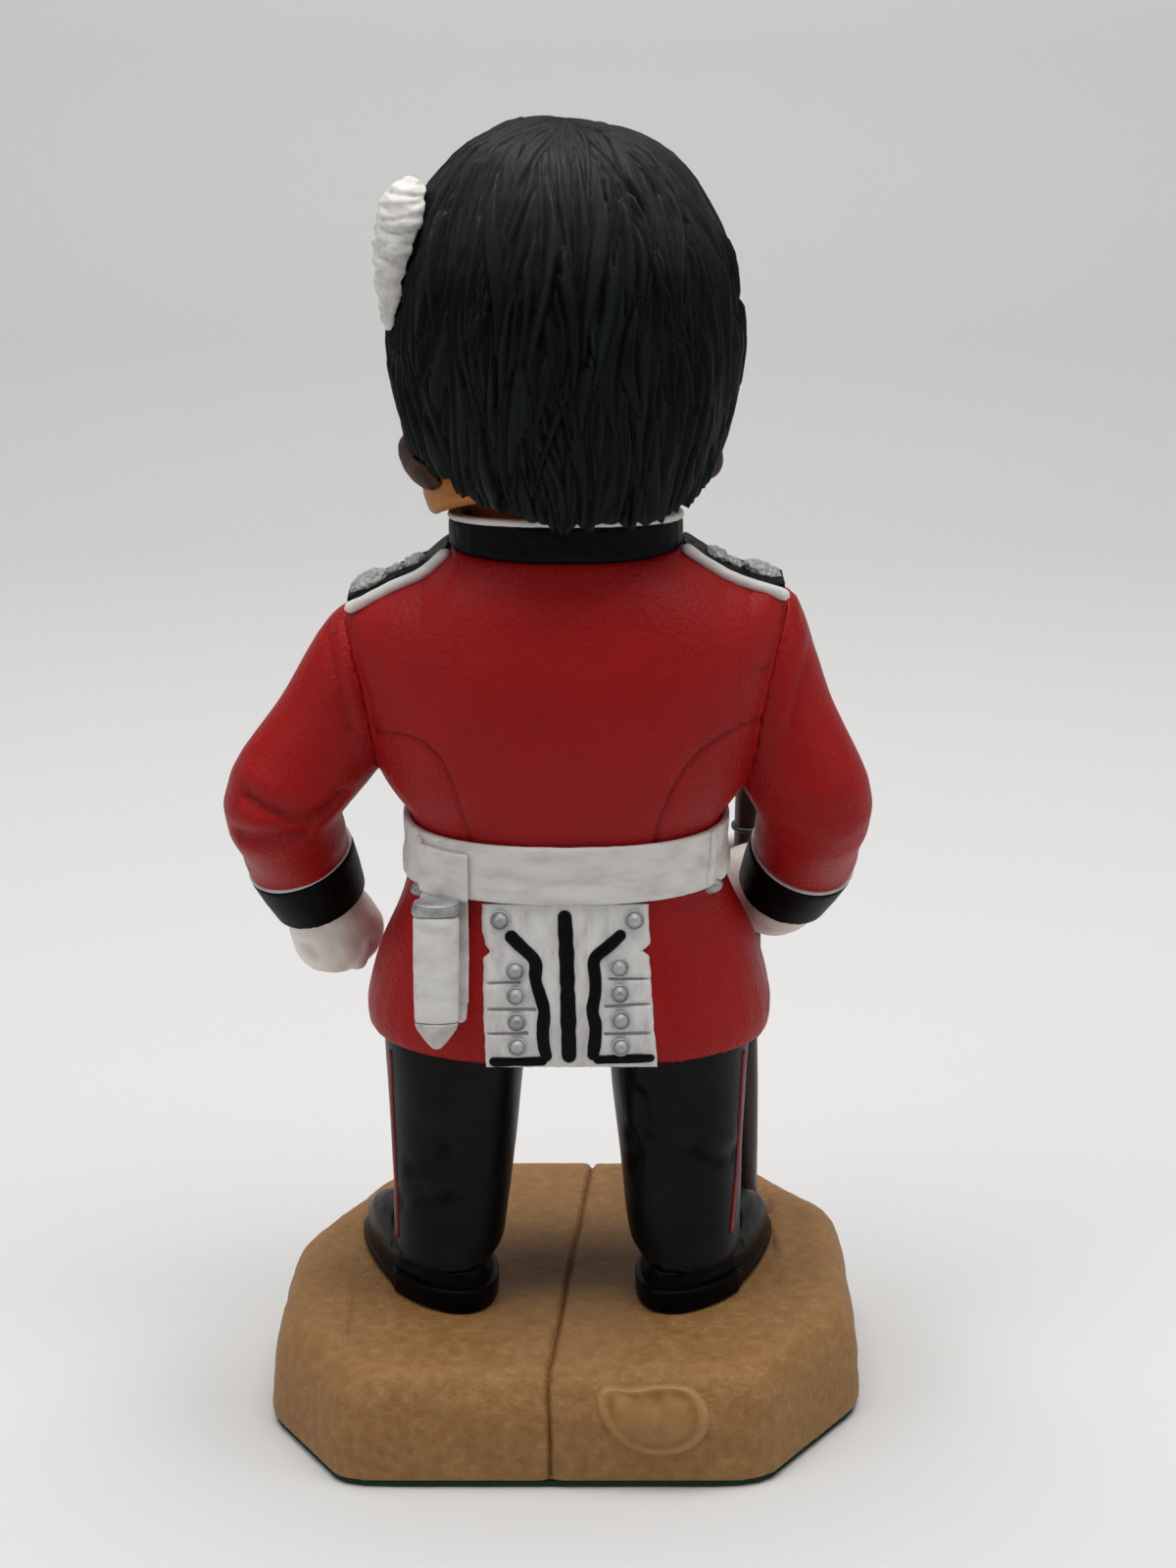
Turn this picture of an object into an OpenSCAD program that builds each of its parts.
// Bobbing guardsman figure: red tunic, tall fur cap, stone slab base.
// The figure faces -Y, its left side is +X, up is +Z, all in millimetres.

/* [Base] */
// Width of the slab from side to side
base_w = 93; // [84:0.5:110]
// Depth of the slab from front to back
base_d = 84.5; // [82:0.5:96]
// How far the slab lies forward of the figure
base_shift = 2.2; // [1:0.1:3]
// Height of the slab without the felt
base_h = 17; // [12:0.5:26]
// Thickness of the felt under the slab
felt_t = 1; // [0.6:0.1:2]
// Width of the groove across the slab
groove_w = 1.2; // [0.8:0.1:2]
// Length of the blank plaque on the slab
plaque_w = 17; // [10:0.5:24]
// Height of the blank plaque on the slab
plaque_h = 9.5; // [6:0.5:11]
// How far the plaque stands out
plaque_t = 0.8; // [0.4:0.1:1.5]

/* [Legs] */
// From the slab to the hem of the tunic
leg_len = 43; // [36:0.5:50]
// Distance between the middles of the legs at the hem
leg_gap = 34.8; // [32:0.2:37]
// Width of a trouser leg at the hem
thigh_w = 22.6; // [18:0.2:23.4]
// Width of a trouser leg at the boot
ankle_w = 16.4; // [13:0.2:17.6]
// Length of a boot along its sole
boot_len = 39; // [34:0.5:40]
// Width of a boot across the sole
boot_w = 16.6; // [13:0.2:17]
// Height of a boot at its front
boot_h = 11; // [9:0.2:14]
// How far the toes turn out, in degrees
toe_out = 25; // [15:1:27]
// Radius of the steel pin in each leg
pin_r = 1.5; // [1:0.1:2]

/* [Tunic] */
// Width of the tunic at the hem
hem_w = 62; // [58:0.5:64]
// Depth of the tunic at the hem
hem_d = 44; // [40:0.5:46]
// Length of the skirt from hem to waist
skirt_len = 30; // [28:0.5:36]
// Width of the tunic at the waist
waist_w = 46.4; // [44:0.2:49]
// Depth of the tunic at the waist
waist_d = 37.4; // [34:0.5:39]
// From the waist up to the collar
torso_len = 46.5; // [42:0.5:52]
// Width of the tunic at the shoulders
shoulder_w = 66.4; // [62:0.5:70]
// Depth of the tunic at the chest
chest_d = 44; // [40:0.5:46]

/* [Belt and trim] */
// Height of the belt
belt_h = 9; // [6:0.2:11]
// Thickness of the belt
belt_t = 1.5; // [1:0.1:2]
// Width of the white panel on the skirt
panel_w = 25; // [20:0.5:27]
// Thickness of the white panel
panel_t = 0.9; // [0.6:0.1:1.4]
// Radius of a silver button
button_r = 1.55; // [1:0.05:1.7]
// Width of the black piping on the panel
piping_w = 1.8; // [1.2:0.1:2]
// Width of the scabbard
scabbard_w = 7; // [5:0.1:7.2]
// Length of the scabbard with mouth and tip
scabbard_len = 21.5; // [18:0.5:22]
// Width of a shoulder strap
strap_w = 9; // [7:0.2:11]
// Thickness of a shoulder strap
strap_t = 1.3; // [0.8:0.1:1.8]

/* [Arms] */
// Radius of the sleeve at the upper arm
sleeve_r = 9.3; // [8:0.1:10]
// From the middle to the left elbow
left_elbow_x = 43.6; // [41:0.2:47]
// From the middle to the right elbow
right_elbow_x = 38; // [37:0.2:41]
// Drop from the collar to the elbows
elbow_drop = 40.5; // [37:0.5:44]
// Length of a cuff
cuff_len = 7.4; // [6:0.2:9]
// Radius of a cuff at its wide end
cuff_r = 8.7; // [7.5:0.1:9.2]
// Thickness of the white edge of a cuff
edge_t = 0.9; // [0.6:0.1:1.4]
// Radius of a gloved fist
fist_r = 7.2; // [6.4:0.1:7.6]

/* [Rifle] */
// From the middle to the rifle
rifle_x = 29.2; // [28:0.2:31]
// From the middle forward to the rifle
rifle_y = 24.6; // [24:0.2:27]
// Length of the rifle
rifle_len = 100; // [88:1:110]
// Thickness of the rifle's stock
stock_t = 4.8; // [4:0.1:5.4]

/* [Head] */
// Width of the collar
collar_w = 34.6; // [32:0.2:35.4]
// Height of the collar at the sides
collar_h = 3.6; // [2.8:0.1:3.8]
// Width of the head across the cheeks
head_w = 41; // [40:0.2:43]
// Height of the head inside and below the cap
head_h = 41; // [39:0.5:44]
// Width of the fur cap over the width of the head
cap_w_share = 1.268; // [1.22:0.002:1.36]
// Height of the fur cap with its fringe over the height of the head
cap_h_share = 1.366; // [1.32:0.002:1.5]
// Length of the plume
plume_len = 22; // [18:0.5:25]
// Turn of the head to its left at rest, in degrees
head_turn = 11; // [8:1:12]
// Mean radius of the neck spring
spring_r = 4.2; // [4:0.1:4.6]
// Radius of the spring's wire
wire_r = 0.45; // [0.35:0.05:0.5]
// Curls of the neck spring
spring_turns = 7; // [5:1:8]

/* [Fits] */
// Gap left between glued pieces
seam = 0.08; // [0.05:0.01:0.12]
// Radial gap of a pin in its hole
pin_gap = 0.05; // [0.03:0.01:0.1]

/* [Hidden] */
// Steps round a lofted ring
ring_steps = 36;
// Overrun of a cutting shape past the face that it cuts
cut = 1;
// Edge of a block that cuts away half of everything
half_space = 200;
// Superellipse powers of the lofted sections
tunic_power_share = 2.4;
leg_power_share = 2.2;
round_power_share = 2;

// Levels from the floor up
base_top = felt_t + base_h;
hem_z = base_top + leg_len;
waist_z = hem_z + skirt_len;
neck_z = waist_z + torso_len;
elbow_z = neck_z - elbow_drop;
collar_top = neck_z + collar_h;
collar_back = collar_w * 0.42;
collar_front = collar_w * 0.43;
chin_z = neck_z - collar_h * 0.5;
cap_z = chin_z + head_h * 0.2;
// The fur cap, the hair below it and the plume follow the head that they sit on
cap_w = head_w * cap_w_share;
cap_h = head_h * cap_h_share;

// Maths shared by the lofts
function unit(v) = v / norm(v);
function blend_rows(a, b, share) = a + (b - a) * share;
function row_at(rows, t, i = 0) =
    (i >= len(rows) - 2 || t < rows[i + 1][0]) ? i : row_at(rows, t, i + 1);
function row_slope(rows, i) =
    let (a = max(i - 1, 0), b = min(i + 1, len(rows) - 1))
    (rows[b] - rows[a]) / (rows[b][0] - rows[a][0]);
// Smooth curve through the rows of a table, by its first column
function curve(rows, t) =
    let (i = row_at(rows, t),
         step = rows[i + 1][0] - rows[i][0],
         u = (t - rows[i][0]) / step,
         from_slope = row_slope(rows, i) * step,
         to_slope = row_slope(rows, i + 1) * step)
    (2 * u * u * u - 3 * u * u + 1) * rows[i] + (u * u * u - 2 * u * u + u) * from_slope
    + (3 * u * u - 2 * u * u * u) * rows[i + 1] + (u * u * u - u * u) * to_slope;
function bend(c, power) = sign(c) * pow(abs(c), 2 / power);
// One level ring: half-width, reach to the back and reach to the front
function egg_ring(middle, half, back, front, power, steps = ring_steps) =
    [for (i = [0 : steps - 1])
        let (a = 360 * i / steps, reach = sin(a) > 0 ? back : front)
        middle + [half * bend(cos(a), power), reach * bend(sin(a), power), 0]];
// How far back a level section reaches at a given distance from its middle
function back_reach(x, half, reach, power) =
    reach * pow(max(0, 1 - pow(min(1, abs(x) / half), power)), 1 / power);
// Rings along a path of rows: share, x, y, z, side radius, other radius
function path_rings(rows, side, steps, ring_n) =
    let (line = [for (k = [0 : steps]) curve(rows, k / steps)],
         spots = [for (p = line) [p[1], p[2], p[3]]])
    [for (k = [0 : steps])
        let (along = unit(spots[min(k + 1, steps)] - spots[max(k - 1, 0)]),
             u = unit(side - (side * along) * along),
             w = cross(along, u))
        [for (i = [0 : ring_n - 1])
            let (a = 360 * i / ring_n)
            spots[k] + line[k][4] * cos(a) * u + line[k][5] * sin(a) * w]];
function middle_of(ring) = [for (axis = [0 : 2]) sum_of([for (p = ring) p[axis]]) / len(ring)];
function sum_of(list, i = 0) = i < len(list) ? list[i] + sum_of(list, i + 1) : 0;

// Closed solid through a row of rings
module loft(rings) {
    n = len(rings[0]);
    last = len(rings) - 1;
    points = [for (ring = rings) each ring, middle_of(rings[0]), middle_of(rings[last])];
    first_cap = n * (last + 1);
    faces = [
        for (k = [0 : last - 1], i = [0 : n - 1])
            let (a = k * n + i, b = k * n + (i + 1) % n)
            each [[a, a + n, b + n], [a, b + n, b]],
        for (i = [0 : n - 1])
            each [[first_cap, i, (i + 1) % n],
                  [first_cap + 1, last * n + (i + 1) % n, last * n + i]]
    ];
    polyhedron(points = points, faces = faces);
}

// Closed band through rings that come back to the first one
module band(rings) {
    n = len(rings[0]);
    count = len(rings);
    points = [for (ring = rings) each ring];
    faces = [
        for (k = [0 : count - 1], i = [0 : n - 1])
            let (j = (k + 1) % count, m = (i + 1) % n)
            each [[k * n + i, j * n + i, j * n + m], [k * n + i, j * n + m, k * n + m]]
    ];
    polyhedron(points = points, faces = faces);
}

// Tunic sections: half-width, back reach and front reach at a level
skirt_shares = [
    [0, 0.94, 0.92, 0.91],
    [0.05, 0.985, 0.975, 0.97],
    [0.13, 1, 1, 1],
    [0.39, 0.75, 0.79, 0.8],
    [0.71, 0.25, 0.3, 0.31],
    [1, 0, 0, 0]
];
torso_shares = [
    [0.11, 0.725, 0.868, 0.862],
    [0.17, 0.79, 0.905, 0.905],
    [0.24, 0.852, 0.94, 0.95],
    [0.41, 0.922, 0.985, 1],
    [0.62, 0.982, 0.976, 0.97],
    [0.75, 1, 0.91, 0.87],
    [0.85, 0.934, 0.83, 0.775],
    [0.925, 0.753, 0.75, 0.71],
    [0.975, 0.59, 0.695, 0.67]
];
function skirt_at(z) =
    let (s = curve(skirt_shares, min(1, max(0, (z - hem_z) / skirt_len))))
    [blend_rows(waist_w, hem_w, s[1]) / 2, blend_rows(waist_d, hem_d, s[2]) / 2,
     blend_rows(waist_d, hem_d, s[3]) / 2];
torso_rows = concat(
    [[0, waist_w / 2, waist_d / 2, waist_d / 2]],
    [for (s = torso_shares)
        [s[0], s[1] * shoulder_w / 2, s[2] * chest_d / 2, s[3] * chest_d / 2]],
    [[1, collar_w / 2, collar_back, collar_front]]);
function torso_at(z) =
    let (r = curve(torso_rows, min(1, max(0, (z - waist_z) / torso_len))))
    [r[1], r[2], r[3]];
function tunic_at(z) = z < waist_z ? skirt_at(z) : torso_at(z);
function tunic_ring(z, grow) =
    let (r = tunic_at(z))
    egg_ring([0, 0, z], r[0] + grow, r[1] + grow, r[2] + grow, tunic_power_share);
// Back and front of the tunic at a place, measured from the middle plane
function tunic_back(x, z, grow = 0) =
    let (r = tunic_at(z)) back_reach(x, r[0] + grow, r[1] + grow, tunic_power_share);
function tunic_front(x, z, grow = 0) =
    let (r = tunic_at(z)) back_reach(x, r[0] + grow, r[2] + grow, tunic_power_share);

module skirt_form(grow = 0) {
    level_shares = concat([0, 0.025, 0.05, 0.09], [for (k = [0 : 12]) 0.13 + 0.87 * k / 12]);
    loft([for (s = level_shares) tunic_ring(hem_z + s * skirt_len, grow)]);
}

module torso_form(grow = 0) {
    level_shares = concat([for (k = [0 : 18]) 0.72 * k / 18],
                          [for (k = [1 : 9]) 0.72 + 0.28 * k / 9]);
    loft([for (s = level_shares) tunic_ring(waist_z + s * torso_len, grow)]);
}

// Slab outline: corner places as shares of half-width and half-depth, from the back left
slab_corner_shares = [
    [0.73, 1], [1, 0.5], [0.985, -0.2], [0.62, -1],
    [-0.67, -1], [-1, -0.5], [-1, 0.42], [-0.64, 1]
];
corner_cut_share = 0.12;
function slab_outline(shrink) =
    let (n = len(slab_corner_shares),
         spots = [for (s = slab_corner_shares)
             [s[0] * (base_w / 2 - shrink), s[1] * (base_d / 2 - shrink) - base_shift]])
    [for (i = [n - 1 : -1 : 0])
        let (here = spots[i], next = spots[(i + n - 1) % n], back = spots[(i + 1) % n])
        each [for (k = [0 : 3])
            let (a = blend_rows(back, here, 1 - corner_cut_share * (1 - k / 3)),
                 b = blend_rows(here, next, corner_cut_share * k / 3))
            blend_rows(a, b, k / 3)]];
function slab_ring(z, shrink) = [for (p = slab_outline(shrink)) [p[0], p[1], z]];
slab_rise_shares = [[0, 0], [0.5, 0.03], [0.74, 0.07], [0.87, 0.13], [0.96, 0.21], [1, 0.31]];

module felt_pad() {
    color("#2c4a3a")
        linear_extrude(felt_t) polygon(slab_outline(felt_t * 0.6));
}

module leg_pin_cut(from_z, to_z, side) {
    translate([side * leg_gap * 0.525, ankle_w * 0.27, from_z])
        cylinder(r = pin_r + pin_gap, h = to_z - from_z, $fn = 32);
}

module base_plinth() {
    foot = felt_t + base_h * 0.5;
    lean = base_d / 2 - base_shift - base_h * 0.03;
    color("#a67c44")
        difference() {
            union() {
                loft([for (s = slab_rise_shares)
                    slab_ring(felt_t + s[0] * base_h, s[1] * base_h)]);
                translate([-base_w * 0.14, lean - plaque_t, foot])
                    rotate([-90, 0, 0])
                        hull() {
                            for (side = [-1, 1])
                                translate([side * (plaque_w - plaque_h) / 2, 0, 0])
                                    cylinder(r = plaque_h / 2, h = plaque_t * 2, $fn = 32);
                        }
            }
            translate([-groove_w * 0.7, 0, base_top - groove_w])
                rotate([0, 0, -5])
                    translate([0, -base_d, 0])
                        cube([groove_w, base_d * 2, groove_w + cut]);
            translate([groove_w * 1.8, lean - groove_w * 1.5, felt_t - cut])
                cube([groove_w, base_d, base_h + cut * 2]);
            for (side = [-1, 1])
                leg_pin_cut(base_top - base_h * 0.7, base_top + cut, side);
        }
}

module leg_pins() {
    color("#8d9093")
        for (side = [-1, 1])
            translate([side * leg_gap * 0.525, ankle_w * 0.27, base_top - base_h * 0.69])
                cylinder(r = pin_r, h = base_h * 0.69 + leg_len + skirt_len * 0.38, $fn = 32);
}

// Boot: level shares with half-width, heel and toe shares of the boot's length
boot_shares = [
    [0, 0.46, 0.29, 0.665],
    [0.05, 0.5, 0.308, 0.692],
    [0.19, 0.5, 0.308, 0.692],
    [0.22, 0.465, 0.29, 0.668],
    [0.42, 0.47, 0.282, 0.652],
    [0.62, 0.45, 0.268, 0.59],
    [0.78, 0.41, 0.256, 0.49],
    [0.9, 0.385, 0.244, 0.34],
    [1, 0.37, 0.23, 0.23]
];
// Trouser leg: level shares with the middle's place across and back
leg_shares = [
    [0, 0.56, 0.46],
    [0.16, 0.535, 0.4],
    [0.42, 0.517, 0.24],
    [0.72, 0.506, 0.12],
    [1, 0.5, 0.06]
];
function ankle_spot(side) = [side * leg_gap * 0.56, ankle_w * 0.4, 0];
heel_taper_share = 0.25;
trouser_z = base_top + boot_h * 0.8;
hem_lean = 13;

// Everything below the slanted foot of the trousers
module below_trouser(side, lift) {
    translate(ankle_spot(side) + [0, 0, trouser_z + lift])
        rotate([-hem_lean, 0, 0])
            translate([-half_space / 2, -half_space / 2, -half_space])
                cube(half_space);
}

module boot(side) {
    rings = [for (s = boot_shares)
        let (flat = egg_ring([0, 0, 0], s[1] * boot_w, s[2] * boot_len, s[3] * boot_len,
                             leg_power_share))
        [for (p = flat)
            let (turn = side * toe_out,
                 x = p[0] * (p[1] > 0 ? 1 - heel_taper_share * p[1] / (s[2] * boot_len) : 1))
            ankle_spot(side) + [x * cos(turn) - p[1] * sin(turn),
                                x * sin(turn) + p[1] * cos(turn),
                                base_top + s[0] * boot_h]]];
    color("#131416")
        difference() {
            intersection() {
                loft(rings);
                below_trouser(side, -seam);
            }
            leg_pin_cut(base_top - cut, hem_z, side);
        }
}

function leg_ring(side, share, foot_z) =
    let (r = curve(leg_shares, share),
         wide = blend_rows(ankle_w, thigh_w, share))
    egg_ring([side * r[1] * leg_gap, r[2] * ankle_w, foot_z + share * (hem_z - foot_z)],
             wide * 0.5, wide * 0.575, wide * 0.575,
             leg_power_share);

module trouser_leg(side) {
    foot_z = base_top + boot_h * 0.2;
    color("#15171a")
        difference() {
            loft([for (k = [0 : 10]) leg_ring(side, k / 10, foot_z)]);
            below_trouser(side, 0);
            leg_pin_cut(base_top - cut, hem_z + cut, side);
        }
}

module left_boot() { boot(1); }
module right_boot() { boot(-1); }
module left_trouser_leg() { trouser_leg(1); }
module right_trouser_leg() { trouser_leg(-1); }

// Round spigot of the torso in the skirt
spigot_r = waist_d * 0.22;
spigot_len = skirt_len * 0.3;

module tunic_skirt() {
    color("#a21c1f")
        difference() {
            skirt_form();
            translate([0, 0, waist_z - spigot_len - seam])
                cylinder(r = spigot_r + pin_gap, h = spigot_len + seam + cut, $fn = 48);
            for (side = [-1, 1])
                leg_pin_cut(hem_z - cut, hem_z + skirt_len * 0.39, side);
        }
}

// Spring fittings: post in the neck, cap in the head
post_r = spring_r * 0.9 - wire_r * 1.2;
post_foot = neck_z - torso_len * 0.24;
flange_r = spring_r * 1.45;
flange_t = wire_r * 2.6;
spring_foot = neck_z + seam + flange_t + wire_r * 1.3;
spring_head = spring_foot + spring_r * 3.9;
cap_flange = spring_head + wire_r * 1.3;
head_bore_top = cap_flange + spring_r * 2.4;
arm_peg_r = sleeve_r * 0.32;
shoulder_z = neck_z - torso_len * 0.38;

module arm_peg(side, gap, from_share, to_share) {
    translate([side * shoulder_w * from_share, 0, shoulder_z])
        rotate([0, side * 90, 0])
            cylinder(r = arm_peg_r + gap, h = shoulder_w * (to_share - from_share), $fn = 32);
}

module tunic_torso() {
    color("#a21c1f")
        difference() {
            union() {
                torso_form();
                translate([0, 0, waist_z - spigot_len])
                    cylinder(r = spigot_r, h = spigot_len + cut, $fn = 48);
            }
            translate([0, 0, post_foot - seam])
                cylinder(r = post_r + pin_gap, h = neck_z - post_foot + cut * 2, $fn = 48);
            for (side = [-1, 1])
                arm_peg(side, pin_gap, 0.345, 0.6);
        }
}

// Belt and what hangs from it
belt_low = waist_z - belt_h / 2;
belt_top = waist_z + belt_h / 2;

module belt() {
    level_shares = [0, 0.2, 0.4, 0.6, 0.8, 1];
    thick_shares = [0.79, 1, 1, 1, 1, 0.79];
    outer = [for (k = [0 : 5])
        tunic_ring(belt_low + level_shares[k] * belt_h, seam + belt_t * thick_shares[k])];
    inner = [for (k = [5 : -1 : 0]) tunic_ring(belt_low + level_shares[k] * belt_h, seam * 2)];
    color("#d9d7d2") band(concat(outer, inner));
}

module belt_buckle() {
    front = max(tunic_front(0, belt_low), tunic_front(0, belt_top)) + belt_t + seam * 2;
    tall = belt_h * 0.94;
    color("#b9a04a")
        translate([0, -front, waist_z])
            rotate([90, 0, 0]) {
                translate([-belt_h * 0.55, -tall / 2, 0])
                    cube([belt_h * 1.1, tall, belt_t * 0.6]);
                cylinder(r = belt_h * 0.3, h = belt_t, $fn = 40);
            }
}

module belt_hooks() {
    x = waist_w / 2 * 0.99;
    z = belt_low + button_r;
    half = tunic_at(z)[0] + belt_t + seam * 2;
    reach = tunic_at(z)[1] + belt_t + seam * 2;
    color("#9fa3a3")
        for (side = [-1, 1])
            translate([side * x, back_reach(x, half, reach, tunic_power_share), z])
                rotate([-90, 0, -side * 52])
                    button(button_r * 0.8);
}

// Piece that lies on the back of the tunic: rows of level, left end, right end, lift
function skin_row(row, lift, steps) =
    [for (i = [0 : steps])
        let (x = blend_rows(row[1], row[2], i / steps))
        [x, tunic_back(x, row[0], row[3] + lift), row[0]]];

module back_skin(rows, thick, steps = 8) {
    rings = [for (row = rows)
        let (inner = skin_row(row, seam * 1.5, steps), outer = skin_row(row, seam + thick, steps))
        concat(inner, [for (i = [steps : -1 : 0]) outer[i]])];
    loft(rings);
}

panel_shares = [
    [0, 1.02], [0.24, 1], [0.48, 0.98], [0.66, 0.97], [0.74, 0.955], [0.78, 0.9], [0.82, 0.955],
    [0.92, 0.98], [1, 0.985]
];
panel_level_shares = concat([for (k = [0 : 14]) 0.7 * k / 14],
                            [0.74, 0.78, 0.82, 0.86, 0.91, 0.955, 1]);
panel_foot = hem_z + skirt_len * 0.045;
panel_top = belt_low - seam * 2;
function panel_z(share) = panel_foot + share * (panel_top - panel_foot);

module tail_panel() {
    color("#d9d7d2")
        back_skin([for (s = panel_level_shares)
            let (half = lookup(s, panel_shares) * panel_w / 2)
            [panel_z(s), -half, half, 0]], panel_t, 12);
}

// Black lines on the panel, as shares of half-width and of height
line_shares = [
    [0.73, 0.85], [0.32, 0.69], [0.4, 0.54], [0.24, 0.38], [0.285, 0.21], [0.23, 0.075]
];
function panel_spot(x_share, z_share, lift) =
    let (x = x_share * panel_w / 2, z = panel_z(z_share))
    [x, tunic_back(x, z, seam * 2 + panel_t + lift), z];
function panel_normal(x_share, z_share) =
    let (p = panel_spot(x_share, z_share, 0),
         aside = panel_spot(x_share + 0.05, z_share, 0) - p,
         above = panel_spot(x_share, z_share + 0.05, 0) - p)
    unit(cross(above, aside));
// Line through rows of shares, cut into short runs
function dense(rows, runs) =
    [for (k = [0 : len(rows) - 2], j = [0 : runs - 1]) blend_rows(rows[k], rows[k + 1], j / runs),
     rows[len(rows) - 1]];

// Flat strip along a line on the panel
module panel_strip(spots, width, thick) {
    last = len(spots) - 1;
    rings = [for (k = [0 : last])
        let (along = unit(spots[min(k + 1, last)] - spots[max(k - 1, 0)]),
             out = [0, 1, 0],
             across = unit(cross(along, out)) * width / 2)
        [spots[k] + across, spots[k] - across, spots[k] - across * 0.6 + out * thick,
         spots[k] + across * 0.6 + out * thick]];
    loft(rings);
}

module tail_piping() {
    thick = panel_t * 0.6;
    color("#141517") {
        panel_strip([for (k = [0 : 14]) panel_spot(0, 0.04 + 0.92 * k / 14, 0)],
                    piping_w * 1.45, thick);
        for (side = [-1, 1]) {
            panel_strip([for (s = dense(line_shares, 3)) panel_spot(side * s[0], s[1], 0)],
                        piping_w, thick);
            panel_strip([for (k = [0 : 6]) panel_spot(side * (0.17 + 0.75 * k / 6), 0.035, 0)],
                        piping_w * 0.5, thick);
        }
    }
}

// Domed button with its back at the origin, facing +Z
module button(r) {
    rotate_extrude($fn = 32)
        polygon([[0, 0], [r, 0], [r, r * 0.3], [r * 0.85, r * 0.52], [r * 0.5, r * 0.7],
                 [0, r * 0.78]]);
}

module tail_buttons() {
    spot_shares = concat([[0.75, 0.93]], [for (k = [0 : 3]) [0.61, 0.635 - 0.17 * k]]);
    color("#9fa3a3")
        for (side = [-1, 1], s = spot_shares)
            aimed(panel_spot(side * s[0], s[1], seam), panel_normal(side * s[0], s[1]))
                button(button_r);
}

// Front closing: white edge and buttons
module front_piping() {
    rows = [for (k = [0 : 10])
        let (z = blend_rows(belt_top + seam * 2, neck_z - torso_len * 0.02, k / 10)) z];
    rings = [for (z = rows)
        let (x = button_r * 1.5, half = button_r * 0.4,
             y = -tunic_front(x, z) - seam)
        [[x - half, y, z], [x + half, y, z], [x + half * 0.6, y - panel_t * 0.7, z],
         [x - half * 0.6, y - panel_t * 0.7, z]]];
    color("#d9d7d2")
        difference() {
            loft([for (ring = rings) [ring[3], ring[2], ring[1], ring[0]]]);
            torso_form(seam);
        }
}

module front_buttons() {
    count = 7;
    color("#b9a04a")
        for (k = [0 : count - 1]) {
            z = blend_rows(belt_top + button_r * 2.4, neck_z - button_r * 2.4, k / (count - 1));
            reach = tunic_front(0, z);
            lean = atan((tunic_front(0, z + button_r) - tunic_front(0, z - button_r))
                        / (button_r * 2));
            translate([0, -reach - seam * 1.5, z])
                rotate([90 + lean, 0, 0])
                    button(button_r * 0.9);
        }
}

// Scabbard hanging at the left of the panel
scabbard_x = panel_w * 0.775;
scabbard_out = scabbard_w * 0.36;
scabbard_top = belt_low - seam * 2;
scabbard_foot = scabbard_top - scabbard_len;
frog_t = panel_t * 0.8;
function hang_spot(share) =
    let (z = scabbard_top - share * scabbard_len,
         rest = tunic_back(scabbard_x - scabbard_w * 0.45, z))
    [scabbard_x, rest + seam * 3 + frog_t + scabbard_out, z];
scabbard_line = [hang_spot(0), hang_spot(1)];

module hang_piece(rows) {
    along = scabbard_line[1] - scabbard_line[0];
    loft(path_rings([for (r = rows)
        let (p = scabbard_line[0] + along * r[0])
        [(r[0] - rows[0][0]) / (rows[len(rows) - 1][0] - rows[0][0]), p[0], p[1], p[2],
         r[1] * scabbard_w / 2, r[1] * scabbard_out]], [1, 0, 0], len(rows) - 1, 24));
}

module bayonet_frog() {
    low = scabbard_top - scabbard_len * 0.72;
    inner_end = scabbard_x - scabbard_w * 0.68;
    outer_end = scabbard_x + scabbard_w * 0.4;
    belt_shares = [0.82, 0.6, 0.3, 0.02];
    skirt_run_shares = [0, 0.25, 0.5, 0.75, 1];
    over_belt = [for (s = belt_shares)
        [belt_low + s * belt_h, inner_end, outer_end, belt_t + seam]];
    on_skirt = [for (s = skirt_run_shares)
        [blend_rows(belt_low - frog_t * 0.6, low, s), inner_end, outer_end, 0]];
    rows = concat(over_belt, on_skirt);
    color("#d5d2cb")
        back_skin([for (k = [len(rows) - 1 : -1 : 0]) rows[k]], frog_t, 6);
}

// Scabbard pieces: places along the scabbard with width shares
body_shares = [[0.08, 1], [0.3, 1], [0.55, 0.99], [0.81, 0.95]];
locket_shares = [[0, 1.02], [0.03, 1.06], [0.06, 1.06], [0.077, 1.02]];
chape_shares = [[0.813, 0.97], [0.85, 0.9], [0.93, 0.55], [0.98, 0.3], [1, 0.16]];
module scabbard() {
    color("#d9d7d2") hang_piece(body_shares);
}

module scabbard_locket() {
    color("#9fa3a3") hang_piece(locket_shares);
}

module scabbard_chape() {
    color("#9fa3a3") hang_piece(chape_shares);
}

// Collar with a slanted top, higher at the back
collar_slope_share = 0.12;
collar_wall = collar_w * 0.055;
function collar_ring(height, inset, sloped) =
    [for (p = egg_ring([0, 0, 0], collar_w / 2 - inset, collar_back - inset,
                       collar_front - inset, tunic_power_share))
        [p[0], p[1], neck_z + seam + height + (sloped ? p[1] * collar_slope_share : 0)]];

module collar() {
    color("#16181a")
        band([collar_ring(0, 0, false), collar_ring(collar_h * 0.6, 0, true),
              collar_ring(collar_h, 0, true), collar_ring(collar_h, collar_wall, true),
              collar_ring(0, collar_wall, false)]);
}

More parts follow.
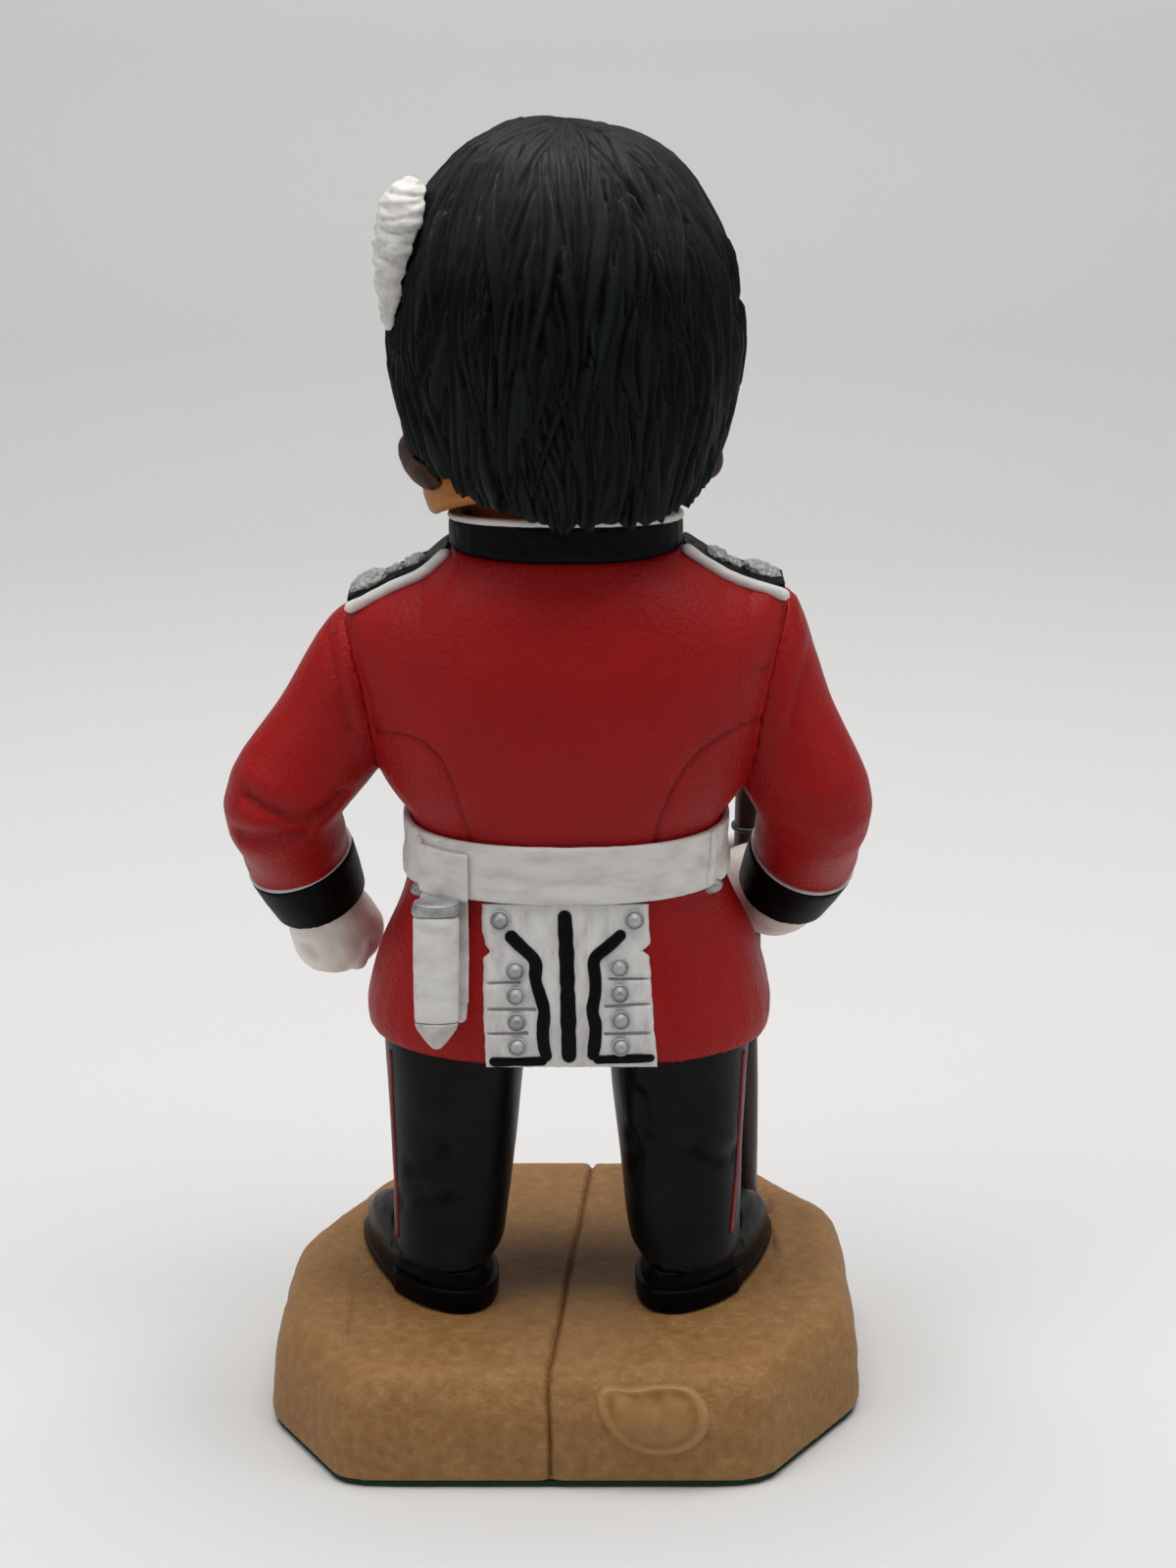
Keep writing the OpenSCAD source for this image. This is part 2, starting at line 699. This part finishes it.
module collar_piping() {
    low = collar_h + seam;
    color("#d9d7d2")
        band([collar_ring(low, 0, true), collar_ring(low + edge_t * 0.3, -edge_t * 0.25, true),
              collar_ring(low + edge_t * 0.8, -edge_t * 0.2, true),
              collar_ring(low + edge_t, edge_t * 0.3, true),
              collar_ring(low + edge_t, collar_wall - edge_t * 0.3, true),
              collar_ring(low + edge_t * 0.5, collar_wall, true),
              collar_ring(low, collar_wall, true)]);
}

// Shoulder straps along the shoulder slope
// Block along the slope: half-width, top lift and end places as shares of its length
module strap_form(half, lift, from_share, to_share, depth = strap_t * 2) {
    inner = [collar_w / 2 + seam * 3, neck_z - torso_len * 0.005];
    outer = [shoulder_w * 0.5, neck_z - torso_len * 0.155];
    steps = 8;
    rings = [for (k = [0 : steps])
        let (s = blend_rows(from_share, to_share, k / steps),
             x = blend_rows(inner[0], outer[0], s),
             z = blend_rows(inner[1], outer[1], s))
        [[x, -half, z - depth], [x, half, z - depth], [x, half, z + lift * 0.7],
         [x, half * 0.8, z + lift], [x, -half * 0.8, z + lift], [x, -half, z + lift * 0.7]]];
    loft(rings);
}

module on_side(side) {
    mirror([side < 0 ? 1 : 0, 0, 0]) children();
}

strap_fit = strap_w * 0.5 + edge_t + seam;

module epaulette(side) {
    color("#16181a")
        on_side(side)
            difference() {
                strap_form(strap_w / 2, strap_t, 0, 0.97);
                torso_form(seam);
            }
}

module epaulette_piping(side) {
    color("#d9d7d2")
        on_side(side)
            difference() {
                strap_form(strap_fit, strap_t * 0.85, 0.02, 1.03);
                strap_form(strap_w / 2 + seam, strap_t * 3, -0.1, 0.976, strap_t * 3);
                torso_form(seam);
            }
}

// Low relief disc with its back at the origin, facing +Z
module relief(r, thick) {
    rotate_extrude($fn = 32)
        polygon([[0, 0], [r, 0], [r, thick * 0.4], [r * 0.8, thick * 0.75], [r * 0.45, thick * 0.95],
                 [0, thick]]);
}

// Silver relief on a strap: a large disc outside and a small one inside
module epaulette_badge(side) {
    inner = [collar_w / 2 + seam * 3, neck_z - torso_len * 0.005];
    outer = [shoulder_w * 0.5, neck_z - torso_len * 0.155];
    slope = atan((inner[1] - outer[1]) / (outer[0] - inner[0]));
    place_shares = [[0.36, 0.55], [0.7, 0.98]];
    color("#9fa3a3")
        on_side(side)
            difference() {
                for (place = place_shares)
                    translate([blend_rows(inner[0], outer[0], place[0]), 0,
                               blend_rows(inner[1], outer[1], place[0]) + strap_t * 0.4])
                        rotate([0, slope, 0])
                            relief(strap_w * 0.42 * place[1], strap_t * 1.3);
                strap_form(strap_w / 2 + seam, strap_t + seam, -0.1, 1.1);
            }
}

module left_epaulette() { epaulette(1); }
module right_epaulette() { epaulette(-1); }
module left_epaulette_piping() { epaulette_piping(1); }
module right_epaulette_piping() { epaulette_piping(-1); }
module left_epaulette_badge() { epaulette_badge(1); }
module right_epaulette_badge() { epaulette_badge(-1); }

// Arms: places of shoulder, elbow and wrist
shoulder_x = shoulder_w * 0.43;
left_wrist = [left_elbow_x - cuff_r * 0.24, -cuff_r * 0.72, elbow_z - cuff_r * 1.4];
left_aim = unit([-cuff_r * 0.36, -cuff_r * 0.36, -cuff_r]);
right_wrist = [-right_elbow_x + cuff_r * 0.14, -cuff_r * 0.9, elbow_z - cuff_r * 1.4];
right_aim = unit([cuff_r * 0.33, -cuff_r * 0.5, -cuff_r * 0.9]);

function arm_rows(side, elbow, wrist, aim) =
    let (root = [side * shoulder_x * (side > 0 ? 0.96 : 0.93), 0, shoulder_z],
         top = root + [-side * sleeve_r * 0.5, 0, sleeve_r * 0.8],
         mid = blend_rows(root, elbow, 0.52),
         low = blend_rows(elbow, wrist, 0.55) + [0, sleeve_r * 0.05, 0],
         near = wrist - aim * sleeve_r * 0.25)
    [
        [0, top[0], top[1], top[2], sleeve_r * 0.62, sleeve_r * 0.8],
        [0.12, root[0], root[1], root[2], sleeve_r * 1.04, sleeve_r * 1.1],
        [0.36, mid[0], mid[1], mid[2], sleeve_r * 0.98, sleeve_r],
        [0.64, elbow[0], elbow[1], elbow[2], sleeve_r * 0.97, sleeve_r * 0.96],
        [0.84, low[0], low[1], low[2], sleeve_r * 0.9, sleeve_r * 0.9],
        [0.95, near[0], near[1], near[2], cuff_r * 0.955, cuff_r * 0.955],
        [1, wrist[0], wrist[1], wrist[2], cuff_r * 0.95, cuff_r * 0.95]
    ];

module sleeve(side, elbow, wrist, aim) {
    color("#a21c1f")
        union() {
            difference() {
                loft(path_rings(arm_rows(side, elbow, wrist, aim), [0, 1, 0], 18, 28));
                torso_form(seam);
                on_side(side)
                    strap_form(strap_fit + seam, strap_t + seam, -0.1, 1.037, strap_t * 2 + seam);
                wrist_half(wrist, aim);
            }
            arm_peg(side, 0, 0.35, 0.53);
        }
}

// Rotation that brings +Z to a direction
module aimed(spot, aim) {
    translate(spot)
        rotate([0, acos(aim[2]), atan2(aim[1], aim[0])])
            children();
}

// Everything beyond the end of a sleeve
module wrist_half(wrist, aim) {
    aimed(wrist - aim * seam, aim)
        translate([-half_space / 2, -half_space / 2, 0])
            cube(half_space);
}

module cuff_piping(wrist, aim) {
    color("#d9d7d2")
        aimed(wrist, aim)
            rotate_extrude($fn = 48)
                polygon([[0, 0], [cuff_r, 0], [cuff_r * 1.045, edge_t * 0.3],
                         [cuff_r * 1.045, edge_t * 0.7], [cuff_r, edge_t], [0, edge_t]]);
}

module cuff(wrist, aim) {
    color("#16181a")
        aimed(wrist + aim * (edge_t + seam), aim)
            cylinder(r1 = cuff_r, r2 = cuff_r * 0.86, h = cuff_len, $fn = 48);
}

left_elbow = [left_elbow_x, sleeve_r * 0.16, elbow_z];
right_elbow = [-right_elbow_x, sleeve_r * 0.16, elbow_z];
module left_sleeve() { sleeve(1, left_elbow, left_wrist, left_aim); }
module right_sleeve() { sleeve(-1, right_elbow, right_wrist, right_aim); }
module left_cuff_piping() { cuff_piping(left_wrist, left_aim); }
module right_cuff_piping() { cuff_piping(right_wrist, right_aim); }
module left_cuff() { cuff(left_wrist, left_aim); }
module right_cuff() { cuff(right_wrist, right_aim); }

// Fists, as rings along the hand: share and radius shares
fist_shares = [[0, 0.8, 0.82], [0.2, 0.92, 0.9], [0.5, 1.02, 1], [0.75, 0.98, 0.95],
               [0.92, 0.72, 0.7], [1, 0.36, 0.36]];
function hand_start(wrist, aim) = wrist + aim * (edge_t + cuff_len + seam * 2);

module left_glove() {
    start = hand_start(left_wrist, left_aim);
    color("#d9d7d2")
        difference() {
            loft(path_rings([for (s = fist_shares)
                let (p = start + left_aim * s[0] * fist_r * 1.75)
                [s[0], p[0], p[1], p[2], s[1] * fist_r, s[2] * fist_r]], [1, 0, 0], 10, 24));
            skirt_form(seam * 2);
            wrist_side(left_wrist, left_aim);
        }
}

// The right hand bends forward from the cuff and closes round the rifle
module right_glove() {
    start = hand_start(right_wrist, right_aim);
    grip = [-rifle_x - fist_r * 0.06, -rifle_y + fist_r * 0.16, start[2] - fist_r * 0.34];
    tip = grip + [fist_r * 0.1, -fist_r * 0.62, 0];
    spots = [start - right_aim * fist_r * 0.15, start + right_aim * fist_r * 0.25,
             blend_rows(start, grip, 0.55) - [0, 0, fist_r * 0.1], grip, tip];
    hand_shares = [[0, 0.8], [0.2, 0.88], [0.52, 0.98], [0.86, 0.9], [1, 0.5]];
    color("#d9d7d2")
        difference() {
            loft(path_rings([for (k = [0 : 4])
                [hand_shares[k][0], spots[k][0], spots[k][1], spots[k][2],
                 hand_shares[k][1] * fist_r, hand_shares[k][1] * fist_r]], [1, 0, 0], 12, 24));
            stock_form(seam);
            wrist_side(right_wrist, right_aim);
        }
}

// Everything on the arm's side of the hand
module wrist_side(wrist, aim) {
    aimed(hand_start(wrist, aim), aim)
        translate([-half_space / 2, -half_space / 2, -half_space])
            cube(half_space);
}

// Rifle standing upright on the slab: levels as shares of its length
stock_shares = [
    [0.025, 0.5, 0.9, 1.15],
    [0.1, 0.5, 0.86, 1.1],
    [0.22, 0.48, 0.72, 0.84],
    [0.32, 0.42, 0.6, 0.5],
    [0.38, 0.42, 0.62, 0.52],
    [0.43, 0.5, 0.66, 0.74],
    [0.6, 0.48, 0.6, 0.6],
    [0.82, 0.42, 0.5, 0.48]
];

module stock_form(grow = 0) {
    loft([for (s = stock_shares)
        egg_ring([-rifle_x, -rifle_y, base_top + s[0] * rifle_len], s[1] * stock_t + grow,
                 s[2] * stock_t + grow, s[3] * stock_t + grow, tunic_power_share, 24)]);
}

module rifle_stock() {
    color("#2b1d15") stock_form();
}

butt_shares = [[0, 0.46], [0.006, 0.5], [0.0245, 0.5]];
module rifle_butt_plate() {
    color("#55585b")
        loft([for (s = butt_shares)
            egg_ring([-rifle_x, -rifle_y, base_top + s[0] * rifle_len], s[1] * stock_t,
                     s[1] * stock_t * 1.84, s[1] * stock_t * 2.34, tunic_power_share, 24)]);
}

module rifle_barrel() {
    foot = base_top + rifle_len * 0.82 + seam;
    color("#3a3d40")
        translate([-rifle_x, -rifle_y, foot])
            rotate_extrude($fn = 32)
                polygon([[0, 0], [stock_t * 0.36, 0], [stock_t * 0.36, rifle_len * 0.02],
                         [stock_t * 0.24, rifle_len * 0.025], [stock_t * 0.22, rifle_len * 0.15],
                         [stock_t * 0.32, rifle_len * 0.152],
                         [stock_t * 0.32, rifle_len * 0.18 - seam],
                         [0, rifle_len * 0.18 - seam]]);
}

module rifle_bolt() {
    spot = [-rifle_x + stock_t * 0.5 + seam, -rifle_y, base_top + rifle_len * 0.44];
    color("#3a3d40")
        translate(spot)
            rotate([0, 90, 0]) {
                cylinder(r = stock_t * 0.14, h = stock_t * 0.5, $fn = 24);
                translate([0, 0, stock_t * 0.6])
                    sphere(r = stock_t * 0.25, $fn = 24);
            }
}

// Neck spring and the two plugs that hold it
module spring_post() {
    color("#8d9093")
        translate([0, 0, post_foot])
            rotate_extrude($fn = 48)
                polygon([[0, 0], [post_r, 0], [post_r, neck_z + seam - post_foot],
                         [flange_r, neck_z + seam - post_foot],
                         [flange_r, neck_z + seam + flange_t - post_foot],
                         [post_r, neck_z + seam + flange_t - post_foot],
                         [post_r, spring_foot + spring_r * 0.9 - post_foot],
                         [post_r * 0.8, spring_foot + spring_r - post_foot],
                         [0, spring_foot + spring_r - post_foot]]);
}

module spring_cap() {
    color("#8d9093")
        translate([0, 0, cap_flange])
            rotate_extrude($fn = 48)
                polygon([[0, -spring_r], [post_r * 0.8, -spring_r], [post_r, -spring_r * 0.9],
                         [post_r, 0], [flange_r, 0], [flange_r, flange_t], [post_r, flange_t],
                         [post_r, head_bore_top - cap_flange - seam],
                         [0, head_bore_top - cap_flange - seam]]);
}

// Unbroken wound wire with a straight run at both ends
coil_steps = 8 * spring_turns;
coil_rise = spring_head - spring_foot;
function coil_middle(k) =
    let (a = 360 * k / 8)
    [spring_r * cos(a), spring_r * sin(a), spring_foot + coil_rise * k / coil_steps];
coil_start = coil_middle(0) - unit(coil_middle(1) - coil_middle(0)) * wire_r * 2;
coil_end = coil_middle(coil_steps)
    + unit(coil_middle(coil_steps) - coil_middle(coil_steps - 1)) * wire_r * 2;
coil_line = concat([coil_start], [for (k = [0 : coil_steps]) coil_middle(k)], [coil_end]);
coil_gap = coil_rise / spring_turns - wire_r * 2;
echo(least_coil_gap = coil_gap);

module neck_spring() {
    last = len(coil_line) - 1;
    rings = [for (k = [0 : last])
        let (along = unit(coil_line[min(k + 1, last)] - coil_line[max(k - 1, 0)]),
             out = [coil_line[k][0], coil_line[k][1], 0],
             u = unit(out - (out * along) * along),
             w = cross(along, u))
        [for (i = [0 : 5])
            coil_line[k] + wire_r * (cos(60 * i) * u + sin(60 * i) * w)]];
    color("#b4b7b9") loft(rings);
}

// Head: level shares with half-width, back and front shares of the head's width
head_shares = [
    [0, 0.16, 0.14, 0.46],
    [0.03, 0.25, 0.25, 0.51],
    [0.09, 0.37, 0.36, 0.55],
    [0.17, 0.46, 0.43, 0.568],
    [0.26, 0.5, 0.47, 0.572],
    [0.38, 0.5, 0.49, 0.566],
    [0.52, 0.49, 0.5, 0.55],
    [0.68, 0.475, 0.49, 0.52],
    [0.82, 0.42, 0.43, 0.46],
    [0.93, 0.29, 0.3, 0.33],
    [1, 0.1, 0.11, 0.12]
];
function head_at(share) = curve(head_shares, share) * head_w;
// The sprung head hangs with its jaw a little toward the figure's left
jaw_lean_share = 0.032;
function lean_at(share) = head_w * jaw_lean_share * pow(1 - share, 1.5);
module head_form(grow = 0) {
    loft([for (k = [0 : 22])
        let (s = k / 22, r = head_at(s))
        egg_ring([lean_at(s), 0, chin_z + s * head_h + (k == 22 ? grow : 0)], r[1] + grow,
                 r[2] + grow, r[3] + grow, leg_power_share)]);
}

// Everything below a slanted plane through a height on the axis
module below_plane(height, tilt, from_y = 0) {
    translate([0, from_y, height])
        rotate([tilt, 0, 0])
            translate([-half_space / 2, -half_space / 2, -half_space])
                cube(half_space);
}

jaw_z = collar_top + edge_t + seam * 3;
jaw_tilt = 22.8;
recess_top = collar_top + edge_t + collar_w * 0.145;
bore_r = collar_w * 0.215;

module turned() {
    rotate([0, 0, head_turn]) children();
}

// Nose as a short drop on the face
module nose() {
    tip = -head_at(0.36)[3];
    side = lean_at(0.42);
    loft(path_rings([
        [0, side, tip + head_w * 0.06, chin_z + head_h * 0.56, head_w * 0.028, head_w * 0.03],
        [0.55, side, tip + head_w * 0.005, chin_z + head_h * 0.43, head_w * 0.05, head_w * 0.05],
        [0.85, side, tip - head_w * 0.005, chin_z + head_h * 0.385, head_w * 0.062, head_w * 0.058],
        [1, side, tip + head_w * 0.02, chin_z + head_h * 0.355, head_w * 0.045, head_w * 0.035]],
        [1, 0, 0], 8, 16));
}

// Neck that fills the collar's opening with a running gap
module neck_stem() {
    room = collar_wall + edge_t;
    foot = neck_z + flange_t * 2.4;
    top = recess_top + flange_t;
    loft([for (s = stem_shares)
        egg_ring([0, 0, blend_rows(foot, top, s[0])], (collar_w / 2 - room * 1.45) * s[1],
                 (collar_back - room * 1.1) * s[1], (collar_front - room * 1.1) * s[1],
                 round_power_share)]);
}
stem_shares = [[0, 0.94], [0.12, 1], [0.5, 1], [1, 1]];

module head() {
    spare = edge_t * 1.45;
    color("#b07d45")
        difference() {
            union() {
                difference() {
                    turned() {
                        head_form();
                        nose();
                    }
                    turned() below_plane(jaw_z, jaw_tilt);
                    loft([for (s = [[neck_z - head_h * 0.2, 2.6, 8], [jaw_z, 1.4, 1.6],
                                    [recess_top, 1, 1]])
                        egg_ring([0, 0, s[0]], collar_w / 2 + spare * s[1],
                                 collar_back + spare * s[1],
                                 collar_front + spare * s[2], tunic_power_share)]);
                }
                neck_stem();
            }
            translate([0, 0, neck_z])
                cylinder(r = bore_r, h = cap_flange + flange_t - neck_z, $fn = 48);
            translate([0, 0, cap_flange])
                cylinder(r = post_r + pin_gap, h = head_bore_top - cap_flange, $fn = 48);
        }
}

// Fur cap: level shares with half-width, back and front shares of its width
cap_shares = [
    [0, 0.32, 0.37, 0.36],
    [0.05, 0.385, 0.423, 0.404],
    [0.11, 0.431, 0.45, 0.435],
    [0.2, 0.465, 0.47, 0.462],
    [0.3, 0.488, 0.481, 0.481],
    [0.43, 0.5, 0.485, 0.492],
    [0.55, 0.482, 0.473, 0.481],
    [0.66, 0.462, 0.45, 0.462],
    [0.77, 0.423, 0.412, 0.423],
    [0.86, 0.377, 0.362, 0.373],
    [0.94, 0.296, 0.28, 0.288],
    [0.98, 0.186, 0.18, 0.186],
    [1, 0.06, 0.06, 0.06]
];
module cap_form(grow = 0) {
    level_shares = concat([for (k = [0 : 14]) 0.84 * k / 14],
                          [0.885, 0.92, 0.95, 0.97, 0.985, 1]);
    loft([for (s = level_shares)
        let (r = curve(cap_shares, s) * cap_w)
        egg_ring([0, 0, cap_z + s * cap_h + (s == 1 ? grow : 0)], r[1] + grow, r[2] + grow,
                 r[3] + grow, round_power_share)]);
}

rim_z = cap_z + cap_h * 0.135;
module cap_rim(lift) {
    below_plane(rim_z - lift, -16.5);
    translate([0, 0, -lift])
        below_plane(rim_z + cap_w * 0.02, -31, -cap_w * 0.1);
}

module bearskin() {
    color("#1a1a1b")
        turned()
            difference() {
                cap_form();
                head_form(seam);
                cap_rim(0);
                translate([0, 0, chin_z + head_h * 0.98])
                    sphere(r = cap_w * 0.32, $fn = 40);
            }
}

// Hair roll along the cap's rim: places as shares of the cap's width and the head's sizes
hair_shares = [
    [0, 0.365, 0.2, 0.34, 0.03, 0.03],
    [0.12, 0.392, 0.15, 0.345, 0.06, 0.06],
    [0.45, 0.404, -0.02, 0.34, 0.06, 0.07],
    [0.8, 0.396, -0.2, 0.375, 0.056, 0.08],
    [1, 0.38, -0.28, 0.41, 0.03, 0.04]
];
module hair(side) {
    wide = side > 0 ? cap_w : cap_w * 0.975;
    rows = [for (s = hair_shares)
        [s[0], side * s[1] * wide, s[2] * head_w, chin_z + s[3] * head_h, s[4] * head_w,
         s[5] * head_w]];
    color("#3a2418")
        turned()
            difference() {
                loft(path_rings(rows, [0, 0, 1], 10, 16));
                head_form(seam);
                cap_form(seam);
            }
}

module left_hair() { hair(1); }
module right_hair() { hair(-1); }

// Plume on the left of the cap
module plume() {
    foot = cap_z + cap_h * 0.465;
    size = plume_len * 0.2;
    rows = [
        [0, cap_w * 0.49, 0, foot, size * 0.25, size * 0.25],
        [0.15, cap_w * 0.488, 0, foot + plume_len * 0.15, size * 0.5, size * 0.55],
        [0.5, cap_w * 0.47, 0, foot + plume_len * 0.5, size * 0.88, size * 1.05],
        [0.75, cap_w * 0.448, 0, foot + plume_len * 0.75, size, size * 1.15],
        [0.92, cap_w * 0.436, 0, foot + plume_len * 0.92, size * 0.72, size * 0.8],
        [1, cap_w * 0.43, 0, foot + plume_len, size * 0.25, size * 0.28]
    ];
    color("#d8d4c8")
        turned()
            difference() {
                loft(path_rings(rows, [1, 0, 0], 14, 18));
                cap_form(seam);
            }
}

// Strap round the face from side to side under the lip
module chin_strap() {
    thick = head_w * 0.018;
    rows = [for (k = [0 : 16])
        let (t = k / 8 - 1,
             share = 0.17 + 0.3 * t * t,
             r = head_at(share),
             a = 270 + 58 * t,
             reach = sin(a) > 0 ? r[2] : r[3])
        [k / 16, lean_at(share) + (r[1] + thick * 0.8) * bend(cos(a), leg_power_share),
         (reach + thick * 0.8) * bend(sin(a), leg_power_share), chin_z + share * head_h, thick,
         thick * 1.5]];
    color("#b9a04a")
        turned()
            difference() {
                loft(path_rings(rows, [0, -1, 0.2], 24, 10));
                head_form(seam);
                cap_form(seam);
            }
}

felt_pad();
base_plinth();
leg_pins();
left_boot();
right_boot();
left_trouser_leg();
right_trouser_leg();
tunic_skirt();
tunic_torso();
belt();
belt_buckle();
belt_hooks();
bayonet_frog();
scabbard();
scabbard_locket();
scabbard_chape();
tail_panel();
tail_piping();
tail_buttons();
front_piping();
front_buttons();
collar();
collar_piping();
left_epaulette();
right_epaulette();
left_epaulette_piping();
right_epaulette_piping();
left_epaulette_badge();
right_epaulette_badge();
left_sleeve();
right_sleeve();
left_cuff_piping();
right_cuff_piping();
left_cuff();
right_cuff();
left_glove();
right_glove();
rifle_stock();
rifle_butt_plate();
rifle_barrel();
rifle_bolt();
spring_post();
neck_spring();
spring_cap();
head();
left_hair();
right_hair();
bearskin();
plume();
chin_strap();
